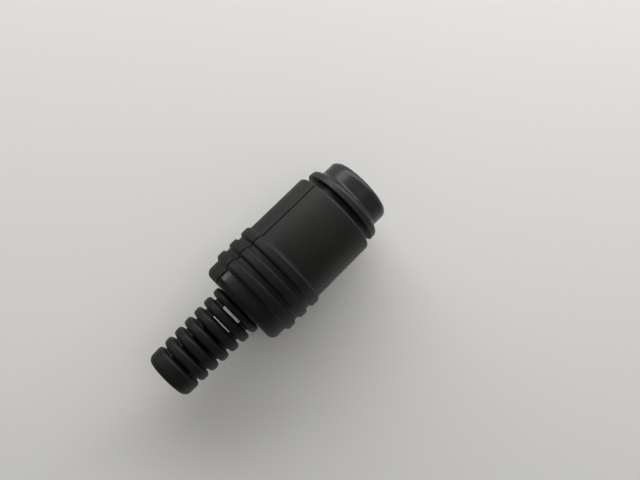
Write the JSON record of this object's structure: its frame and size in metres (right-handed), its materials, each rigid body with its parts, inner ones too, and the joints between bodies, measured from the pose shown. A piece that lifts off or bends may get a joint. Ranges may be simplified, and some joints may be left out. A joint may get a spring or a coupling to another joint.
{
  "type": "in-line loudspeaker socket",
  "caption": "In-line loudspeaker socket for a cord end: smooth round nose with a stepped flange, ribbed round body of half shells and a slotted, ringed cord relief.",
  "frame": {"origin": "centre of the flat face of the nose, on which the socket stands; the centre of the bounding box's bottom", "axes": "+Z from the face of the nose to the cord end, +Y and -Y to the middles of the half shells, the seam lies on the +X and -X sides, the round hole is on the -Y side of the blade slot"},
  "size_m": [0.0164, 0.0164, 0.0438],
  "materials": {
    "insert": "smooth glossy black",
    "shell": "faintly grained matt black",
    "relief": "soft satin black",
    "contact": "tinned, satin"
  },
  "bodies": {
    "root": {"insert": "insert", "retainer": "insert", "round_contact": "contact", "blade_contact": "contact", "shell_lower": "shell", "shell_upper": "shell", "relief": "relief"}
  },
  "joints": []
}
